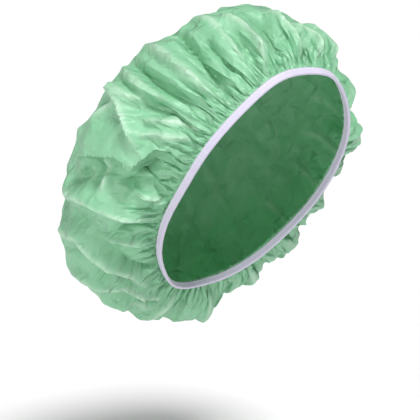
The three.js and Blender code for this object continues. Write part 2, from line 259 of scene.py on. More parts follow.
# The pocket's depth below the flap's edge: distances from it, and shares of the full depth.
POCKET_OFF, POCKET_SHARE = (-40, -14, 0), (0, 1, 0.3)
FLAP_ROUNDING = 4  # over what distance the film turns from the pocket on to the flap
STANDS_FADE, OVER_FADE = 18, 9  # how far past its edge the flap still stands off and hangs over
OVERHANG_TURN, OVERHANG_RISE = (284, 9), (0.2, 0.16)  # where it may lap, and how far from there
LOOP_BLEND = 0.22  # share of the way up at which the loop's own outline is lost
LEFT_BLEND = 0.35  # sine of the turn over which the right half's widths become the left half's
NORMAL_STEP = 0.004  # share of the way up between the places that give the bag's normal
RELIEF_START = 0.05  # share of the way up at which folds and swells have their full height
FOLD_STEPS = 8  # straight steps that a fold's line is drawn with
TOP_RISE = 0.94  # the film's last ring; a small fan of faces closes it
BINDING_DROP = 2.0  # from where the film is free down to the binding's edge
FILM_TUCK = 4.0  # the film's edge inside the fold of the tape


def smooth(x):
    """From 0 to 1 and level at both ends, as x goes from 0 to 1."""
    x = np.clip(x, 0, 1)
    return x * x * (3 - 2 * x)


def unit(vectors, least=0.0):
    return vectors / (norm(vectors, axis=-1, keepdims=True) + least)


def apart(turn, other):
    """How far one turn is from another, from -180 to 180 degrees."""
    return (turn - other + 180) % 360 - 180


def fading(along, start, end):
    """1 along a line, down to 0 over these shares of it at its start and its end."""
    return smooth(along / start) * smooth((1 - along) / end)


def through(rows, column, at, flat_start=False, flat_end=False):
    """A smooth curve through one column of a table, by its first column."""
    x, y = next(iter(rows.values())), rows[column]
    steep = np.diff(y) / np.diff(x)
    slope = np.r_[0 if flat_start else steep[0], (y[2:] - y[:-2]) / (x[2:] - x[:-2]),
                  0 if flat_end else steep[-1]]
    i = np.clip(np.searchsorted(x, at, side="right") - 1, 0, len(x) - 2)
    span = x[i + 1] - x[i]
    s = np.clip((at - x[i]) / span, 0, 1)
    return ((2 * s**3 - 3 * s**2 + 1) * y[i] + (s**3 - 2 * s**2 + s) * span * slope[i]
            + (3 * s**2 - 2 * s**3) * y[i + 1] + (s**3 - s**2) * span * slope[i + 1])


def place(side, reach, lift):
    return side[..., None] * SIDE + reach[..., None] * REACH + lift[..., None] * LIFT


def loop_places(turn):
    turn = np.mod(turn, 360.0)
    half = np.where(turn > 180, 360 - turn, turn)
    side = np.where(turn > 180, -1, 1) * through(LOOP, "side", half)
    reach, lift = (through(LOOP, name, half, True, True) for name in ("reach", "lift"))
    return side, reach, lift


def loop_point(turn):
    return place(*loop_places(np.asarray(turn, float)))


def loop_outward(turn):
    """The way straight out from the loop in the opening's plane."""
    return unit(-np.cross(loop_point(turn + 1) - loop_point(turn - 1), LIFT))


def section_places(turn, rise):
    c, s = np.cos(np.radians(turn)), np.sin(np.radians(turn))
    front, back, right, left = (
        through(SECTIONS, name, rise) for name in ("front", "back", "right", "left"))
    lift_front, lift_back, lift_side = (through(SECTIONS, name, rise, flat_end=True)
                                        for name in ("lift_front", "lift_back", "lift_side"))
    left_share = np.clip((s + LEFT_BLEND) / (2 * LEFT_BLEND), 0, 1)
    lift_middle = (lift_front + lift_back) / 2
    side = (right + (left - right) * left_share) * s
    reach = (front + back) / 2 + (front - back) / 2 * c
    lift = lift_middle + (lift_front - lift_back) / 2 * c + (lift_side - lift_middle) * s * s
    return side, reach, lift


def bag_point(turn, rise):
    """A point of the smooth bag, before any fold."""
    turn, rise = np.broadcast_arrays(np.asarray(turn, float), np.asarray(rise, float))
    here = section_places(turn, rise)
    foot = section_places(turn, 0 * rise)
    loop = loop_places(turn)
    share = np.clip(1 - rise / LOOP_BLEND, 0, 1) ** 2
    return place(*(h + (b - f) * share for h, f, b in zip(here, foot, loop)))


def bag_normal(turn, rise):
    round_way = bag_point(turn + 1, rise) - bag_point(turn - 1, rise)
    up_way = (bag_point(turn, rise + NORMAL_STEP)
              - bag_point(turn, np.maximum(rise - NORMAL_STEP, 0)))
    return unit(np.cross(round_way, up_way))


def crease_lines():
    """Every fold and sweep: the points of its line, its height and its two half widths."""
    for foot_turn, foot_rise, head_turn, head_rise, bow, *sizes in zip(*FOLDS.values()):
        s = np.linspace(0, 1, FOLD_STEPS + 1)
        turn = foot_turn + apart(head_turn, foot_turn) * s + bow * 4 * s * (1 - s)
        yield bag_point(turn, foot_rise + (head_rise - foot_rise) * s), *sizes
    for sizes, places in SWEEPS:
        turn, rise = places.reshape(-1, 2).T
        knots = np.arange(len(turn))
        s = np.linspace(0, knots[-1], 4 * len(turn))
        yield bag_point(np.interp(s, knots, turn), np.interp(s, knots, rise)), *sizes


def swept(turn, rise):
    """How far the sweeps have drawn the small gathers flat, from 0 to 1."""
    off = np.abs(apart(turn, SWEPT_TURN)) / SWEPT_HALF
    return smooth(1.7 - 1.2 * off) * smooth(rise / 0.07 - 0.3) * smooth(3.2 - 5 * rise)


def nearest(line, points, normals):
    """For each point: how far off the line is, how far along it, and whether it is after it."""
    best = np.full(len(points), np.inf)
    along = np.zeros(len(points))
    after = np.zeros(len(points), bool)
    for i in range(len(line) - 1):
        way = line[i + 1] - line[i]
        offset = points - line[i]
        s = np.clip(offset @ way / (way @ way), 0, 1)
        offset = offset - s[:, None] * way
        distance = norm(offset, axis=-1)
        closer = distance < best
        best[closer] = distance[closer]
        along[closer] = (i + s[closer]) / (len(line) - 1)
        after[closer] = ((np.cross(way, offset) * normals).sum(-1) < 0)[closer]
    return best, along, after


def beside_lines(points, normals, margin=None):
    """For every fold and sweep: its height, which points are near its line, how far off and
    along it they are, and its half width on their side."""
    for line, height, half_after, half_before in crease_lines():
        reach = margin or max(half_after, half_before)
        near = ((points > line.min(0) - reach) & (points < line.max(0) + reach)).all(-1)
        distance, along, after = nearest(line, points[near], normals[near])
        yield height, near, distance, along, np.where(after, half_after, half_before)


def swell_height(rise, points):
    """How far the slack film stands off the smooth bag, from its swells."""
    height = np.zeros(points.shape[:-1])
    for swell_turn, swell_rise, radius, swell in zip(*SWELLS.values()):
        share = norm(points - bag_point(swell_turn, swell_rise), axis=-1) / radius
        height += swell * np.exp(-share * share)
    return height * smooth(rise / RELIEF_START)


def fold_height(rise, points, normals, sharpness, gain):
    """How far the film stands off the bag, from its folds: sharp ones in front and on the
    right, and rounder ones 50 mm out to the left and 110 mm out to the back."""
    height = np.zeros(points.shape[:-1])
    soft = np.maximum(smooth(points @ SIDE / 50), smooth((-points @ REACH - 110) / 40))
    for fold, near, distance, along, width in beside_lines(points, normals):
        flank = np.clip(1 - distance / width, 0, 1)
        form = flank**sharpness + (smooth(flank) - flank**sharpness) * soft[near]
        height[near] += gain * fold * fading(along, 0.25, 0.3) * form
    middle = np.interp(rise, [0.25, 0.42, 0.58, 0.72], [1, 0.6, 0.6, 1])
    return height * smooth(rise / RELIEF_START) * middle


def crest_highlight_share(rise, points, normals):
    """How much painted highlight lies on the crests of the ridges: 1 along them, and 0 beside
    them.
    These paler lines of painted highlight are wider and fainter towards the crown, where the mesh
    is coarser."""
    share = np.zeros(points.shape[:-1])
    width = np.interp(rise, COARSER_FROM, [2.6, 4, 6])
    for fold, near, distance, along, _ in beside_lines(points, normals, 6):
        if fold > 0:
            pale = fading(along, 0.2, 0.25) * np.clip(1.1 - distance / width[near], 0, 1)
            share[near] = np.maximum(share[near], pale)
    return share * np.interp(rise, [0.35, 0.6], [1, 0.5])


# ---- the draped film

# How many times its length on the smooth bag the film measures round it, besides what the
# designed folds take. The rest of the disc's fullness is in gathers too small to drape.
FULLNESS = table("""
    rise times
    0 1.3; .015 1.6; .04 1.7; .08 1.5; .13 1.25; .2 1.1; .3 1.05; .5 1.03; 1 1""")

# Rows of small gathers: how many round the bag, over which stretch, and how high.
GATHERS = table("""
    count rise_from rise_to height
    190 0 .03 .8; 120 0 .07 1.2; 74 .02 .13 1.2; 42 .06 .24 1.2; 24 .14 .4 1.2""")

# Lengths that the film keeps: steps round and up to the other point, and how strongly. Those
# over one step resist bending until the film is sharply folded there.
TIES = table("""
    round up strength
    1 0 1; 0 1 1; 1 1 .6; 1 -1 .6; 2 0 .1; 0 2 .2; 2 2 .06; 2 -2 .06; 4 0 .06; 0 4 .2
    4 4 .04; 4 -4 .04; 0 8 .12""")

# How hard the film resists bending, and is drawn to the design across and along its surface.
DRAW = table("""
    rise bend across along
    0 .1 .05 .02; .03 .15 .04 .01; .1 .4 .08 .005; .3 .8 .12 .005; .6 1 .1 .01
    1 1 .1 .02""")

LETS_GO = (0.75, 0.95)  # shares of a tie's length between which its bending strength fades

GRIDS = (
    (200, 32, 1, 0, 150, 150, 1.0),
    (400, 60, 0.6, 2, 130, 40, 0.6),
    (800, 125, 0.45, 5, 50, 10, 0.25),
)


def gather_height(turn, rise, seed):
    """Uneven small gathers: ridges and valleys by turns, each of its own width and height."""
    random = np.random.default_rng(seed)
    height = np.zeros((len(turn), len(rise)))
    for count, start, end, size in zip(*GATHERS.values()):
        n = int(count) * 2
        at = (np.arange(n) + random.uniform(-0.35, 0.35, n)) / n
        sign = np.where(np.arange(n) % 2 == 0, 1, -1)
        crest_highlight = sign * (1 + 0.5 * random.normal(0, 1, n).clip(-1.2, 1.2))
        wave = np.interp(turn / 360, np.r_[at - 1, at, at + 1], np.tile(crest_highlight, 3))
        if start:
            stretch = np.interp(rise, [start - 0.02, start, (start + end) / 2, end, end + 0.05],
                                [0, 0.8, 1, 0.6, 0])
        else:
            stretch = np.interp(rise, [0, 0.006, 0.03, end, end + 0.04], [0.35, 1, 1, 0.6, 0])
        height += size * wave[:, None] * stretch
    return height * (1 - swept(turn[:, None], rise))


# Pleats that run up from the binding.
PLEATS = 140
# By turn, the share of the way up that the longest reach; by rise, what one degree measures.
PLEAT_REACH = table("""
    turn rise
    0 .22; 30 .36; 60 .42; 100 .46; 140 .44; 180 .3; 200 .2; 228 .14; 250 .14; 266 .18
    274 .2; 286 .16; 294 .38; 318 .44; 335 .34; 360 .22""")
PLEAT_DEGREE = table("""
    rise size
    0 1.72; .1 1.95; .3 2.15; .5 1.75""")


def pleat_height(turn, rise, seed):
    """Narrow sharp pleats, each of its own length, width and lean."""
    random = np.random.default_rng(seed)
    height = np.zeros((len(turn), len(rise)))
    degree = read_off(PLEAT_DEGREE, "size", rise)
    for k in range(PLEATS):
        foot = (k + random.uniform(-0.4, 0.4)) * 360 / PLEATS
        head = read_off(PLEAT_REACH, "rise", foot % 360) * random.uniform(0.35, 1)
        lean, size = random.normal(0, 2), random.uniform(1.4, 3.2) * random.choice([1, -0.8])
        widths = random.uniform(1.8, 4.6, 2)
        j = np.flatnonzero(rise < head)
        along = rise[j] / head
        across = apart(turn[:, None] - foot, lean * along) * degree[j]
        tent = np.clip(1 - np.abs(across) / np.where(across > 0, *widths), 0, 1) ** 1.2
        height[:, j] += size * tent * smooth((1 - along) / 0.7)
    return height * smooth(rise / 0.03)


# Facets of the crumpled film, as (size in the flat disc, height of their corners): those that
# the film is draped with, and those that are pressed into the draped film.
DRAPED_FACETS = ((52, 3.0), (25, 1.8))
PRESSED_FACETS = ((30, 1.9), (15, 1.4), (8, 0.65))


def facet_height(turn, rise, facets, seed):
    """Flat facets that meet in sharp creases: planes between the corners of bent triangular
    grids, whose heights are random. The gathering makes them long and narrow."""
    random = np.random.default_rng(seed)
    angle, radius = np.radians(turn)[:, None], DISC_RADIUS * (1 - rise)
    total = 0
    for size, height in facets:
        x, y = radius * np.sin(angle), radius * np.cos(angle)
        for length in (3.1, 1.9):
            bend, wave = 0.1 * length * size, 0.5 * length * size
            phases = random.uniform(0, 2 * math.pi, 2)
            x, y = (x + bend * np.sin(y / wave + phases[0]),
                    y + bend * np.sin(x / wave + phases[1]))
        across, up = x / size - y / size / math.sqrt(3), 2 * y / size / math.sqrt(3)
        middle = int(2 * DISC_RADIUS / size) + 3
        corners = random.uniform(-1, 1, (2 * middle, 2 * middle))
        i, j = np.floor(across).astype(int), np.floor(up).astype(int)
        across, up = across - i, up - j
        i, j = i + middle, j + middle
        a, b, c, d = (corners[i + k, j + m] for m in (0, 1) for k in (0, 1))
        below = a * (1 - across - up) + b * across + c * up
        above = d * (across + up - 1) + c * (1 - across) + b * (1 - up)
        total = total + height * np.where(across + up < 1, below, above)
    return total * np.interp(rise, [0.03, 0.1, 0.25, 0.35], [0, 0.5, 0.6, 1])


def flap_shift(turn, rise, degree):
    """How far the flap's edge and its pocket move the film outwards, and sideways. degree is
    what one degree of turn measures."""
    edge, stands, pocket, over = (
        read_off(FLAP, name, rise) for name in ("turn", "stands", "pocket", "over"))
    off = (turn - edge) * degree
    flap = smooth(off / FLAP_ROUNDING + 0.5)
    past = np.maximum(off, 0)
    outwards = (flap * stands * np.exp(-past / STANDS_FADE)
                + (1 - flap) * pocket * np.interp(off, POCKET_OFF, POCKET_SHARE))
    return outwards, flap * over * np.exp(-past / OVER_FADE)


# How sharp the folds are and how many times their height they have: in the design that the
# film is drawn to, and in the crests that are raised on the draped film.
FOLD_FORM, CREST_FORM = (1.35, 1.25), (3, 0.17)


def column(values, shape):
    """These values spread over a grid's shape, one to a row."""
    return np.broadcast_to(values, shape).astype(np.float32).reshape(-1, 1)


def dots(a, b):
    return np.einsum("ij,ij->i", a, b)


def face_corners(points):
    """The four corners of every face of a closed grid."""
    after = np.roll(points, -1, 0)
    return points[:, :-1], after[:, :-1], after[:, 1:], points[:, 1:]


class Film:
    """The film as a grid of points, in millimetres: columns round the bag by rows up it."""

    def __init__(self, columns, rows, seed):
        s = np.linspace(0, 1, rows)
        self.turn = np.arange(columns) * 360 / columns
        self.rise = TOP_RISE * (0.8 * s + 0.2 * s**1.8)  # rows are closer at the binding
        self.columns, self.rows = columns, rows
        self.free = np.ones(rows)  # 0 for the two edges, which may not move
        self.free[[0, -1]] = 0
        turn, rise = np.meshgrid(self.turn, self.rise, indexing="ij")
        self.bag, self.normal = bag_point(turn, rise), bag_normal(turn, rise)
        surface = rise, self.bag, self.normal
        self.crests = fold_height(*surface, *CREST_FORM) * smooth(2.4 - 4 * rise)
        height = swell_height(rise, self.bag) + fold_height(*surface, *FOLD_FORM)
        height += pleat_height(self.turn, self.rise, seed + 20)
        height += facet_height(self.turn, self.rise, DRAPED_FACETS, seed + 40)
        round_way = np.roll(self.bag, -1, 0) - np.roll(self.bag, 1, 0)
        spacing = norm(round_way, axis=-1, keepdims=True) / 2
        self.round_way = round_way / spacing / 2
        stands, over = flap_shift(turn, rise, spacing[..., 0] * columns / 360)
        self.design = (self.bag + self.normal * (height + stands)[..., None]
                       - self.round_way * over[..., None])
        self.points = self.design

    def raise_by(self, height):
        self.points = self.points + self.normal * height[..., None]

    def draw_flat(self, times):
        """Takes the small gathers out of the film where the sweeps have drawn it flat."""
        moved = even = self.points - self.design
        for _ in range(times):
            even = (np.roll(even, 1, 0) + 2 * even + np.roll(even, -1, 0)) / 4
        share = swept(self.turn[:, None], self.rise)[..., None]
        self.points = self.points + (even - moved) * share

    def refined(self, columns, rows, seed):
        """The same film on a finer grid."""
        fine = Film(columns, rows, seed)
        self.draw_flat(times=10)
        moved = self.points - self.design
        i = np.arange(columns) * self.columns / columns
        i0 = i.astype(int)
        share = (i - i0)[:, None, None]
        moved = moved[i0] * (1 - share) + moved[(i0 + 1) % self.columns] * share
        j = np.interp(fine.rise, self.rise, np.arange(self.rows))
        j0 = np.clip(j.astype(int), 0, self.rows - 2)
        share = (j - j0)[None, :, None]
        fine.points = fine.design + moved[:, j0] * (1 - share) + moved[:, j0 + 1] * share
        return fine

    def number(self, i, j):
        return (i * self.rows + j).ravel()

    def pairs(self, around, up):
        """The two ends of a kind of tie as grid indices, in two sets that share no point."""
        every_i, every_j = np.arange(self.columns)[:, None], np.arange(self.rows - abs(up))[None]
        for odd in (0, 1):
            i, j = every_i, every_j
            if up:
                j = j[:, j[0] // abs(up) % 2 == odd]
            else:
                i = i[i[:, 0] // around % 2 == odd]
            yield i, j + max(-up, 0), (i + around) % self.columns, j + max(up, 0)

    def tie_lengths(self, i, j, i2, j2):
        """What the flat film measures between two points of the grid."""
        times = read_off(FULLNESS, "times", self.rise)
        whole = ((self.design[i2, j2] - self.design[i, j]) ** 2).sum(-1)
        round_part = ((self.bag[i2, j2] - self.bag[i, j]) * self.round_way[i, j]).sum(-1) ** 2
        rest = np.maximum(whole - round_part, 0)
        slack = ((times[j] + times[j2]) / 2 - 1) * (1 - swept(self.turn[i], self.rise[j]))
        return np.sqrt(round_part * (1 + slack) ** 2 + rest)

    def tie_plans(self, bend):
        """For each kind of tie: its ends, lengths, the share that each end moves, its strength,
        and whether it resists bending."""
        for around, up, strength in zip(*TIES.values()):
            bends = max(around, abs(up)) > 1
            for i, j, i2, j2 in self.pairs(int(around), int(up)):
                length = self.tie_lengths(i, j, i2, j2)
                total = np.maximum(self.free[j] + self.free[j2], 1e-6)
                columns = (length, self.free[j] / total, self.free[j2] / total,
                           strength * bend[j] if bends else strength)
                yield (self.number(i, j), self.number(i2, j2),
                       *(column(values, length.shape) for values in columns), bends)

    def order_plans(self):
        """Neighbours round a ring, and how near they may come: the film may lap over itself
        only where the flap hangs over its pocket."""
        spacing = norm(np.roll(self.bag, -1, 0) - self.bag, axis=-1)
        off_turn = np.abs(apart(self.turn, OVERHANG_TURN[0])) / OVERHANG_TURN[1]
        off_rise = np.abs(self.rise - OVERHANG_RISE[0]) / OVERHANG_RISE[1]
        overhang = np.outer(np.clip(1 - off_turn, 0, 1), np.clip(1 - off_rise, 0, 1))
        least = np.where(overhang > 0, -3 * overhang, 0.05) * spacing
        for i, j, i2, j2 in self.pairs(1, 0):
            yield (self.number(i, j), self.number(i2, j2), least[i, j].ravel().astype(np.float32),
                   column(0.5 * self.free[j], (len(i), self.rows)))

    def relax(self, rounds, stiffness):
        """Moves the points until the ties have their lengths, near the design."""
        bend, across, along = (read_off(DRAW, name, self.rise).astype(np.float32)
                               for name in ("bend", "across", "along"))
        ties, orders = list(self.tie_plans(stiffness * bend)), list(self.order_plans())
        across, along = (np.tile(values * self.free, self.columns).astype(np.float32)[:, None]
                         for values in (across, along))
        p, normal, design, round_way = (
            a.reshape(-1, 3).astype(np.float32)
            for a in (self.points, self.normal, self.design, self.round_way))
        for _ in range(rounds):
            for a, b, length, share_a, share_b, strength, bends in ties:
                way = p[b] - p[a]
                now = np.maximum(np.sqrt(dots(way, way)), 1e-6)[:, None]
                pull = strength * (now - length) / now
                if bends:
                    hold = np.clip((now / length - LETS_GO[0]) / (LETS_GO[1] - LETS_GO[0]), 0, 1)
                    pull = np.where(now < length, pull * hold, 0)
                way *= pull
                p[a] += way * share_a
                p[b] -= way * share_b
            for a, b, least, share in orders:
                short = least - dots(p[b] - p[a], round_way[a])
                push = np.maximum(short, 0)[:, None] * round_way[a] * share
                p[a] -= push
                p[b] += push
            away = design - p
            outwards = dots(away, normal)[:, None] * normal
            p += across * outwards + along * (away - outwards)
        self.points = p.reshape(self.columns, self.rows, 3).astype(float)

    def crisp(self, alike, reach, steps):
        """Flattens the film between its creases: each face takes the mean normal of the faces
        near it that are turned alike, and the points follow."""
        amount = smooth((self.rise - 0.05) / 0.08)[None, :, None]
        p = self.points
        corners = face_corners(p)
        normal = np.cross(corners[2] - corners[0], corners[3] - corners[1])
        area = norm(normal, axis=-1, keepdims=True)
        normal /= area + 1e-9
        middle = sum(corners) / 4
        padded = [np.pad(a, ((0, 0), (2, 2), (0, 0)), mode="edge")
                  for a in (normal, middle, area)]
        total = 0
        for di, dj in np.ndindex(5, 5):
            near = [np.roll(a, 2 - di, 0)[:, dj:dj + self.rows - 1] for a in padded]
            off = ((near[1] - middle) ** 2).sum(-1, keepdims=True) / (2 * reach**2)
            unlike = ((near[0] - normal) ** 2).sum(-1, keepdims=True) / (2 * alike**2)
            total = total + near[2] * np.exp(-off - unlike) * near[0]
        normal = unit(total, 1e-9)
        for _ in range(steps):
            middle = sum(face_corners(p)) / 4
            move = np.zeros_like(p)
            for di in (0, 1):
                m, n = np.roll(middle, di, 0), np.roll(normal, di, 0)
                move[:, :-1] += ((m - p[:, :-1]) * n).sum(-1, keepdims=True) * n
                move[:, 1:] += ((m - p[:, 1:]) * n).sum(-1, keepdims=True) * n
            move[:, [0, -1]] = 0
            p = p + move / 4 * amount
        self.points = p


def draped_film(seed):
    """The film at rest on the bag's form: draped on a coarse grid, then on finer ones."""
    film = None
    for columns, rows, height, draw, rounds, quick_rounds, stiffness in GRIDS:
        film = film.refined(columns, rows, seed) if film else Film(columns, rows, seed)
        film.raise_by(height * gather_height(film.turn, film.rise, seed + draw))
        film.relax(rounds, stiffness)
    film.draw_flat(times=20)
    film.crisp(alike=0.35, reach=1.8, steps=6)
    film.normal = point_normals(film)
    film.raise_by(facet_height(film.turn, film.rise, PRESSED_FACETS, seed + 60) + film.crests)
    return film


# ---- meshes


def add_object(name, data):
    obj = bpy.data.objects.new(name, data)
    bpy.context.scene.collection.objects.link(obj)
    return obj


def mesh_object(name, points, faces, material, uv=None, crest_highlight=None):
    """An object at the origin whose mesh holds these points, given in millimetres."""
    mesh = bpy.data.meshes.new(name)
    mesh.from_pydata((np.asarray(points) * MM).tolist(), [], faces)
    mesh.polygons.foreach_set("use_smooth", [True] * len(mesh.polygons))
    if uv is not None:
        corner = np.empty(len(mesh.loops), int)
        mesh.loops.foreach_get("vertex_index", corner)
        layer = mesh.uv_layers.new(name="flat")
        layer.data.foreach_set("uv", np.asarray(uv)[corner].ravel())
    # the share of painted highlight along the ridges' crests, which the film's shader reads
    if crest_highlight is not None:
        mesh.attributes.new("crest_highlight", "FLOAT", "POINT").data.foreach_set("value", crest_highlight)
    mesh.materials.append(material)
    mesh.validate()
    return add_object(name, mesh)


def strip(lower, upper, leaning=None):
    """Faces between two closed rings; the second may have half as many points. leaning says
    which faces are split from the lower left to the upper right."""
    faces = []
    step = len(lower) // len(upper)
    for i, above in enumerate(upper):
        above_next = upper[(i + 1) % len(upper)]
        below, below_next = lower[step * i], lower[step * (i + 1) % len(lower)]
        if step == 2:
            middle = lower[2 * i + 1]
            faces += [(below, middle, above), (middle, above_next, above),
                      (middle, below_next, above_next)]
        elif leaning is None:
            faces.append((below, below_next, above_next, above))
        elif leaning[i]:
            faces += [(below, below_next, above_next), (below, above_next, above)]
        else:
            faces += [(below, below_next, above), (below_next, above_next, above)]
    return faces


COARSER_FROM = (0.16, 0.5, 0.8)  # rises past which the film has half as many columns
HEMMED = 0.98  # share of the disc's radius that is left free of the binding


def leaning_faces(points):
    """For a grid of points, whether the film bends less along each face's rising diagonal."""
    padded = np.pad(points, ((1, 1), (0, 0), (0, 0)), mode="wrap")
    padded = np.pad(padded, ((0, 0), (1, 1), (0, 0)), mode="reflect", reflect_type="odd")
    rising = norm(padded[:-2, :-2] - 2 * points + padded[2:, 2:], axis=-1)
    falling = norm(padded[2:, :-2] - 2 * points + padded[:-2, 2:], axis=-1)
    rising = rising[:, :-1] + np.roll(rising, -1, 0)[:, 1:]
    falling = np.roll(falling, -1, 0)[:, :-1] + falling[:, 1:]
    return rising < falling


def point_normals(film):
    up_way = np.gradient(film.points, axis=1)
    round_way = np.roll(film.points, -1, 0) - np.roll(film.points, 1, 0)
    return unit(np.cross(round_way, up_way), 1e-9)


def film_mesh(film, thickness, disc_radius):
    """Both faces of the film, as points and faces, with each point's place in the flat disc
    and its share of the painted highlight, a paler line along the crests of the ridges."""
    normals, outward = point_normals(film), loop_outward(film.turn)
    tucked = loop_point(film.turn) - (BINDING_DROP + FILM_TUCK) * LIFT
    crown = bag_point(0.0, 1.0)
    crown += film.points[:, -1].mean(0) - bag_point(film.turn, film.rise[-1]).mean(0)
    # each point's share of the painted highlight along the ridges' crests
    crests = crest_highlight_share(np.tile(film.rise, (film.columns, 1)), film.bag, film.normal)
    ring_places = [(np.arange(0, film.columns, 2 ** sum(rise > r for r in COARSER_FROM)), j)
                   for j, rise in enumerate(film.rise)]
    leaning = {len(columns): leaning_faces(film.points[columns]) for columns, _ in ring_places}
    points, faces, flat, crest_highlight, edges = [], [], [], [], []

    def add(ring, radius, turn, pale):
        """Adds a ring of points, and gives their numbers."""
        points.extend(ring)
        crest_highlight.extend(pale)
        angle, share = np.radians(turn), radius / disc_radius / 2
        flat.extend(np.c_[0.5 + share * np.sin(angle), 0.5 + share * np.cos(angle)])
        return list(range(len(points) - len(ring), len(points)))

    for face in (1, -1):
        offset = face * thickness / 2
        rings = [add(tucked + offset * outward, disc_radius, film.turn, np.zeros(film.columns))]
        for columns, j in ring_places:
            rings.append(add(film.points[columns, j] + offset * normals[columns, j],
                             disc_radius * (1 - film.rise[j]) * HEMMED, film.turn[columns],
                             crests[columns, j]))
        add([crown + offset * LIFT], 0, [0], [0])
        own = strip(rings[0], rings[1])
        for (_, j), low, high in zip(ring_places, rings[1:], rings[2:]):
            own += strip(low, high, leaning[len(high)][:, j])
        top = rings[-1]
        own += [(top[i], top[(i + 1) % len(top)], len(points) - 1) for i in range(len(top))]
        faces += own if face > 0 else [f[::-1] for f in own]
        edges.append(rings[0])
    return points, faces + strip(edges[1], edges[0]), flat, crest_highlight


# ---- materials


def add_node(tree, kind, sockets=None, **settings):
    """Adds a node with its settings. Its input sockets are set to values, or linked to output
    sockets or to nodes' first ones. A shader node's kind is given without its prefix."""
    node = tree.nodes.new(kind if "Node" in kind else "ShaderNode" + kind)
    for name, value in settings.items():
        setattr(node, name, value)
    for key, value in (sockets or {}).items():
        if isinstance(value, bpy.types.Node):
            value = value.outputs[0]
        if isinstance(value, bpy.types.NodeSocket):
            tree.links.new(value, node.inputs[key])
        else:
            node.inputs[key].default_value = value
    return node


def new_material(name):
    """A material without nodes, and what adds them to it."""
    material = bpy.data.materials.new(name)
    material.use_nodes = True
    material.node_tree.nodes.clear()
    return material, partial(add_node, material.node_tree)


# The film's pattern in millimetres: its waves and how far they bend it, its pale patches,
# ridges and grain, and its facets, each kind with its slope.
WAVE, WAVE_SHIFT, PATCH, RIDGE, GRAIN = 40, 18, 30, 26, 1.6
SHADED_FACETS = ((24, 0.24), (11, 0.17))
HALF = (0.5, 0.5, 0.5)


def peva_film(settings):
    """PEVA film, cast thin and tinted: soft satin gloss, slightly milky, so light glows through
    a single layer; creases that have been pressed in stay as crisp lines, and the crests of the
    ridges are painted paler as a painted highlight."""
    material, add = new_material("peva_film")
    disc = 2 * settings.disc_radius / MM
    flat = add("TexCoord").outputs["UV"]
    warp = add("TexNoise", {"Vector": flat, "Scale": disc / WAVE})
    centred = add("VectorMath", {0: warp.outputs["Color"], 1: HALF}, operation="SUBTRACT")
    bent = add("VectorMath", {0: centred, 1: (WAVE_SHIFT / disc,) * 3, 2: flat},
               operation="MULTIPLY_ADD")
    patches = add("TexNoise", {"Vector": flat, "Scale": disc / PATCH, "Detail": 1.0})
    # pressed creases: flat facets, each tilted its own way, with a narrow fold between them
    ridges = add("TexNoise", {"Vector": bent, "Scale": disc / RIDGE, "Detail": 3.0,
                              "Roughness": 0.55}, noise_type="RIDGED_MULTIFRACTAL")
    creases = add("Math", {0: ridges, 1: 0.55}, operation="MULTIPLY")
    for size, slope in SHADED_FACETS:
        cell, edge = (add("TexVoronoi", {"Vector": bent, "Scale": disc / size},
                          feature=feature, voronoi_dimensions="2D")
                      for feature in ("F1", "DISTANCE_TO_EDGE"))
        within = add("VectorMath", {0: bent, 1: cell.outputs["Position"]}, operation="SUBTRACT")
        tilt = add("VectorMath", {0: cell.outputs["Color"], 1: HALF}, operation="SUBTRACT")
        facet = add("VectorMath", {0: within, 1: tilt}, operation="DOT_PRODUCT")
        inside = add("MapRange", {"Value": edge, "From Max": 0.22, "To Max": slope * disc},
                     interpolation_type="SMOOTHSTEP")
        creases = add("Math", {0: facet.outputs["Value"], 1: inside, 2: creases},
                      operation="MULTIPLY_ADD")
    grain = add("TexNoise", {"Vector": flat, "Scale": disc / GRAIN, "Detail": 3.0})
    height = add("Math", {0: grain, 1: 0.06, 2: creases}, operation="MULTIPLY_ADD")
    bump = add("Bump", {"Height": height, "Distance": MM})
    tint = add("MapRange", {"Value": patches, "From Min": 0.3, "From Max": 0.7, "To Max": 0.14})
    # paler lines along the ridges' crests are a painted highlight; the random pale patches are
    # the film's own uneven tone
    crest_highlight = add("Attribute", attribute_name="crest_highlight").outputs["Fac"]
    line = add("Math", {0: crest_highlight, 1: 1.1}, operation="MULTIPLY")
    pale = add("Math", {0: line, 1: patches, 2: tint}, operation="MULTIPLY_ADD")
    # mixes in the paler colour: the film's own pale patches, and the painted highlight on the
    # crests
    colour = add("Mix", {"Factor": pale, 6: (*settings.colour, 1),
                         7: (*settings.patch_and_highlight_colour, 1)}, data_type="RGBA")
    gloss = add("MapRange", {"Value": grain, "To Min": 0.36, "To Max": 0.52})
    front = add("BsdfPrincipled", {
        "Base Color": colour.outputs[2], "Roughness": gloss, "Normal": bump, "IOR": 1.49,
        "Specular IOR Level": 0.6, "Coat Weight": 0.6, "Coat Roughness": 0.6})
    through_light = add("BsdfTranslucent", {
        "Color": (*settings.light_colour, 1), "Normal": bump})
    shader = add("MixShader", {0: settings.translucency, 1: front, 2: through_light})
    add("OutputMaterial", {"Surface": shader})
    return material


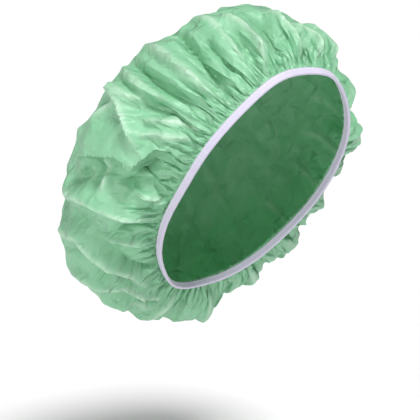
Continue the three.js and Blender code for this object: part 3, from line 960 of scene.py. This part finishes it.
def elastic_tape(settings):
    """Knitted polyester and elastane tape: matt, faintly lilac white, with fine wales along it.
    Its wales are about 0.4 mm apart, drawn at 0.9 mm so that they show."""
    material, add = new_material("elastic_tape")
    flat = add("TexCoord").outputs["UV"]
    wales, courses = (
        add("TexWave", {"Vector": flat, "Scale": 1 / gap / 2, "Distortion": bend},
            bands_direction=way)
        for gap, bend, way in ((0.9, 0.4, "Y"), (0.7, 0.6, "X")))
    knit = add("Math", {0: wales.outputs["Fac"], 1: courses.outputs["Fac"]}, operation="MULTIPLY")
    bump = add("Bump", {"Height": knit, "Strength": 0.35, "Distance": 0.2 * MM})
    shade = add("MapRange", {"Value": knit, "To Max": 0.25})
    colour = add("Mix", {"Factor": shade, 6: (*settings.colour, 1),
                         7: (*settings.thread_colour, 1)}, data_type="RGBA")
    shader = add("BsdfPrincipled", {
        "Base Color": colour.outputs[2], "Normal": bump, "Roughness": 0.75, "Sheen Weight": 0.25,
        "Sheen Roughness": 0.4})
    add("OutputMaterial", {"Surface": shader})
    return material


def sewing_thread(settings):
    """Spun polyester sewing thread: matt, twisted every 0.3 mm, nearly white."""
    material, add = new_material("sewing_thread")
    place_here = add("TexCoord").outputs["Object"]
    twist = add("TexNoise", {"Vector": place_here, "Scale": 1 / (0.3 * MM), "Detail": 1.0})
    bump = add("Bump", {"Height": twist, "Strength": 0.4, "Distance": 0.1 * MM})
    shader = add("BsdfPrincipled", {
        "Base Color": (*settings.thread_colour, 1), "Normal": bump, "Roughness": 0.6,
        "Sheen Weight": 0.2})
    add("OutputMaterial", {"Surface": shader})
    return material


def stage_paper(settings):
    """Matt seamless backdrop paper, pale and plain."""
    material, add = new_material("backdrop_paper")
    shader = add("BsdfPrincipled", {
        "Base Color": (*settings.floor_colour, 1), "Roughness": 0.9})
    add("OutputMaterial", {"Surface": shader})
    return material


# ---- the binding

BINDING_STEPS = 480  # points round the tape
SLOT_HALF = 0.5  # half of the gap between the tape's layers, which holds the film
SLOT_SPARE = 0.3  # room in the slot below the film's edge
SLOT_MOUTH = 0.2  # how far below the tape's edge the slot begins
FOLD_DEPTH = 0.8  # how deep the tape's round fold is, as a share of half the tape's thickness
TAPE_BULGE = 0.12  # how far the middle of each face of the tape stands out
# The welt on each face: how far it stands out, and its place below the tape's edge.
WELT = ((0, -2.2), (0.25, -1.5), (0.3, -0.8), (0.1, -0.15), (-0.45, 0))
PUCKER, PUCKER_CYCLES = 0.05, (37, 53, 89, 120)  # its height, and how many times round the loop
STITCH_DROP = 1.7  # from the tape's edge down to the stitches


def tape_section(width, leaf):
    """The folded tape's section, as (out, lift) points: a rounded U, with a welt on each face
    where the tape is turned under."""
    top, bottom = -BINDING_DROP, -BINDING_DROP - width
    half, slot_half, middle = SLOT_HALF + leaf, SLOT_HALF, (top + bottom) / 2
    slot_bottom = top - FILM_TUCK - SLOT_SPARE
    round_bottom = [
        (half * math.cos(a), bottom + half * FOLD_DEPTH - half * FOLD_DEPTH * math.sin(a))
        for a in np.linspace(0, math.pi, 9)]
    inner = [(-half - out, top + down) for out, down in WELT] + [(-slot_half, top - SLOT_MOUTH)]
    slot = [(-slot_half, slot_bottom), (slot_half, slot_bottom)]
    outer = [(-x, y) for x, y in reversed(inner)]
    return (round_bottom + [(-half - TAPE_BULGE, middle)] + inner + slot + outer
            + [(half + TAPE_BULGE, middle)])


def loop_frames():
    turn = np.arange(BINDING_STEPS) * 360 / BINDING_STEPS
    return turn, loop_point(turn), loop_outward(turn)


def binding_mesh(settings):
    """The tape round the loop, slightly puckered where it is stretched and sewn."""
    leaf, width = settings.leaf / MM, settings.width / MM
    section = tape_section(width, leaf)
    turn, loop, outward = loop_frames()
    steps = norm(np.roll(loop, -1, 0) - loop, axis=-1)
    along = np.r_[0, np.cumsum(steps)[:-1]]
    random = np.random.default_rng(11)
    pucker = np.zeros(BINDING_STEPS)
    for cycles in PUCKER_CYCLES:
        pucker += np.sin(np.radians(turn) * cycles + random.uniform(0, 6.28)) * PUCKER
    points, uv = [], []
    across = 0.0
    for k, (out, lift) in enumerate(section):
        if k:
            across += math.dist(section[k - 1], section[k])
        swell = pucker * (abs(out) > SLOT_HALF + 0.5 * leaf) * math.copysign(1, out)
        points.extend(loop + (out + swell)[:, None] * outward + lift * LIFT)
        uv.extend(np.c_[along, np.full(BINDING_STEPS, across)])
    rings = [list(range(k, k + BINDING_STEPS)) for k in range(0, len(points), BINDING_STEPS)]
    faces = []
    for lower, upper in zip(rings, rings[1:] + rings[:1]):
        faces += strip(lower, upper)
    return points, faces, uv


def stitch_tree(material):
    """Geometry Nodes that lay stitches along every edge path of a mesh."""
    tree = bpy.data.node_groups.new("stitches", "GeometryNodeTree")
    sockets = {"Path": "NodeSocketGeometry", "Pitch": "NodeSocketFloat",
               "Stitch length": "NodeSocketFloat", "Thread": "NodeSocketFloat"}
    named = {name: tree.interface.new_socket(name, in_out="INPUT", socket_type=kind).identifier
             for name, kind in sockets.items()}
    tree.interface.new_socket("Stitches", in_out="OUTPUT", socket_type="NodeSocketGeometry")
    add = partial(add_node, tree)
    given = add("NodeGroupInput").outputs
    path = add("GeometryNodeMeshToCurve", {"Mesh": given["Path"]})
    spaced = add("GeometryNodeResampleCurve", {"Curve": path, "Length": given["Pitch"]},
                 mode="LENGTH")
    radius, half = (add("Math", {0: given[name], 1: 0.5}, operation="MULTIPLY")
                    for name in ("Thread", "Stitch length"))
    size = add("CombineXYZ", {0: radius, 1: radius, 2: half})
    bead = add("GeometryNodeMeshUVSphere", {"Segments": 6, "Rings": 5})
    stitch = add("GeometryNodeTransform", {"Geometry": bead, "Scale": size})
    tangent = add("GeometryNodeInputTangent")
    turned = add("FunctionNodeAlignRotationToVector", {"Vector": tangent}, axis="Z")
    laid = add("GeometryNodeInstanceOnPoints", {
        "Points": spaced, "Instance": stitch, "Rotation": turned})
    real = add("GeometryNodeRealizeInstances", {0: laid})
    painted = add("GeometryNodeSetMaterial", {"Geometry": real, "Material": material})
    smoothed = add("GeometryNodeSetShadeSmooth", {"Geometry": painted})
    add("NodeGroupOutput", {0: smoothed})
    return tree, named


def stitch_paths(settings):
    """One closed path on each face of the tape, just below its edge, as points and edges."""
    _, loop, outward = loop_frames()
    points, edges = [], []
    for face in (1, -1):
        start = len(points)
        out = face * (SLOT_HALF + settings.leaf / MM + TAPE_BULGE)
        points.extend(loop + out * outward + (-BINDING_DROP - STITCH_DROP) * LIFT)
        edges += [(start + i, start + (i + 1) % BINDING_STEPS) for i in range(BINDING_STEPS)]
    return points, edges


# ---- operators


class SHOWERCAP_OT_binding(Operator):
    """Make the folded elastic tape round the opening"""
    bl_idname = "showercap.binding"
    bl_label = "Binding"

    def execute(self, context):
        settings = context.scene.shower_cap_binding
        points, faces, uv = binding_mesh(settings)
        tape = mesh_object("binding_tape", points, faces, elastic_tape(settings), uv)
        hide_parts("edge_binding")
        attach(tape, "root")
        return {"FINISHED"}


class SHOWERCAP_OT_stitches(Operator):
    """Sew the tape down with a row of stitches on each face"""
    bl_idname = "showercap.stitches"
    bl_label = "Stitches"

    def execute(self, context):
        settings = context.scene.shower_cap_binding
        points, edges = stitch_paths(settings)
        mesh = bpy.data.meshes.new("stitch_paths")
        mesh.from_pydata((np.asarray(points) * MM).tolist(), edges, [])
        paths = add_object("stitch_paths", mesh)
        tree, named = stitch_tree(sewing_thread(settings))
        modifier = paths.modifiers.new("stitches", "NODES")
        modifier.node_group = tree
        modifier[named["Pitch"]] = settings.stitch_pitch
        modifier[named["Stitch length"]] = settings.stitch_pitch * 0.8
        modifier[named["Thread"]] = settings.thread
        evaluated = paths.evaluated_get(context.evaluated_depsgraph_get())
        made = bpy.data.meshes.new_from_object(evaluated)
        paths.modifiers.remove(modifier)
        bpy.data.objects.remove(paths)
        made.name = "binding_stitches"
        stitches = add_object("binding_stitches", made)
        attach(stitches, "root")
        return {"FINISHED"}


CREASE_ANGLE = math.radians(38)  # faces that meet at more than this are shaded as a sharp crease


class SHOWERCAP_OT_film(Operator):
    """Drape the film over the bag's form and gather it into the binding"""
    bl_idname = "showercap.film"
    bl_label = "Film"

    def execute(self, context):
        settings = context.scene.shower_cap_film
        points, faces, flat, crest_highlight = film_mesh(
            draped_film(settings.seed), settings.thickness / MM, settings.disc_radius / MM)
        sheet = mesh_object("film_sheet", points, faces, peva_film(settings), flat, crest_highlight)
        sheet.data.set_sharp_from_angle(angle=CREASE_ANGLE)
        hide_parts("film_crown")
        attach(sheet, "root")
        return {"FINISHED"}


FLOOR = 40000.0  # millimetres from the middle of the floor to its edge
# Where each light comes from, and the angle in degrees that it fills.
KEY_FROM, KEY_BREADTH = (-0.15, -0.75, 1.15), 18
FILL_FROM, FILL_BREADTH = (-1.0, -0.35, 0.4), 30

# The camera's place: degrees round from the front and above the horizon, and its distance from
# the cap in metres. Its shifts are shares of the view's width.
CAMERA_AZIMUTH = math.radians(-38)
CAMERA_ELEVATION = math.radians(10.5)
CAMERA_DISTANCE = 1.2
CAMERA_LENS = 126.4
CAMERA_SHIFT = (-0.0738, -0.0417)
CAMERA_AIM = -8.5 * MM * REACH  # the point that the lens is centred on before the shift


def soft_light(name, towards, breadth, strength):
    """A far soft light that shines from one direction; breadth is the angle that it fills."""
    lamp = bpy.data.lights.new(name, "SUN")
    lamp.angle = math.radians(breadth)
    lamp.energy = strength
    add_object(name, lamp).rotation_euler = Vector(towards).to_track_quat("Z", "Y").to_euler()


class SHOWERCAP_OT_stage(Operator):
    """Set the floor, the backdrop, the lights and the camera"""
    bl_idname = "showercap.stage"
    bl_label = "Stage"

    def execute(self, context):
        settings = context.scene.shower_cap_stage
        corners = [(FLOOR * x, FLOOR * y, 0) for x, y in ((-1, -1), (1, -1), (1, 1), (-1, 1))]
        floor = mesh_object("floor", corners, [(0, 1, 2, 3)], stage_paper(settings))
        floor.location.z = CAD_BOX[0][2] - settings.floor_drop
        soft_light("key_light", KEY_FROM, KEY_BREADTH, settings.key_strength)
        soft_light("fill_light", FILL_FROM, FILL_BREADTH, settings.fill_strength)
        world = bpy.data.worlds.new("studio")
        world.use_nodes = True
        background = world.node_tree.nodes["Background"].inputs
        background["Color"].default_value = (1, 1, 1, 1)
        background["Strength"].default_value = settings.room_strength
        context.scene.world = world
        context.scene.view_settings.view_transform = "Standard"
        back = Vector((math.sin(CAMERA_AZIMUTH) * math.cos(CAMERA_ELEVATION),
                       -math.cos(CAMERA_AZIMUTH) * math.cos(CAMERA_ELEVATION),
                       math.sin(CAMERA_ELEVATION)))
        lens = bpy.data.cameras.new("camera")
        lens.lens = CAMERA_LENS
        lens.shift_x, lens.shift_y = CAMERA_SHIFT
        camera = add_object("camera", lens)
        camera.location = CAMERA_DISTANCE * back + Vector(CAMERA_AIM)
        camera.rotation_euler = back.to_track_quat("Z", "Y").to_euler()
        context.scene.camera = camera
        return {"FINISHED"}


class SHOWERCAP_PT_panel(Panel):
    """Settings and steps of the shower cap"""
    bl_label = "Shower Cap"
    bl_idname = "SHOWERCAP_PT_panel"
    bl_space_type = "VIEW_3D"
    bl_region_type = "UI"
    bl_category = "Shower Cap"

    def draw(self, context):
        steps = {"film": ("film",), "binding": ("binding", "stitches"), "stage": ("stage",)}
        for group, names in steps.items():
            settings = getattr(context.scene, f"shower_cap_{group}")
            box = self.layout.box()
            for name in settings.__annotations__:
                box.prop(settings, name)
            for name in names:
                box.operator(f"showercap.{name}")


SETTINGS = {
    "shower_cap_film": FilmSettings,
    "shower_cap_binding": BindingSettings,
    "shower_cap_stage": StageSettings,
}
CLASSES = (FilmSettings, BindingSettings, StageSettings, SHOWERCAP_OT_binding,
           SHOWERCAP_OT_stitches, SHOWERCAP_OT_film, SHOWERCAP_OT_stage, SHOWERCAP_PT_panel)


def register():
    for cls in CLASSES:
        bpy.utils.register_class(cls)
    for name, cls in SETTINGS.items():
        setattr(bpy.types.Scene, name, PointerProperty(type=cls))


def unregister():
    for name in SETTINGS:
        delattr(bpy.types.Scene, name)
    for cls in reversed(CLASSES):
        bpy.utils.unregister_class(cls)


def main():
    register()
    bpy.ops.showercap.binding()
    bpy.ops.showercap.stitches()
    bpy.ops.showercap.film()
    bpy.ops.showercap.stage()


if __name__ == "__main__":
    main()
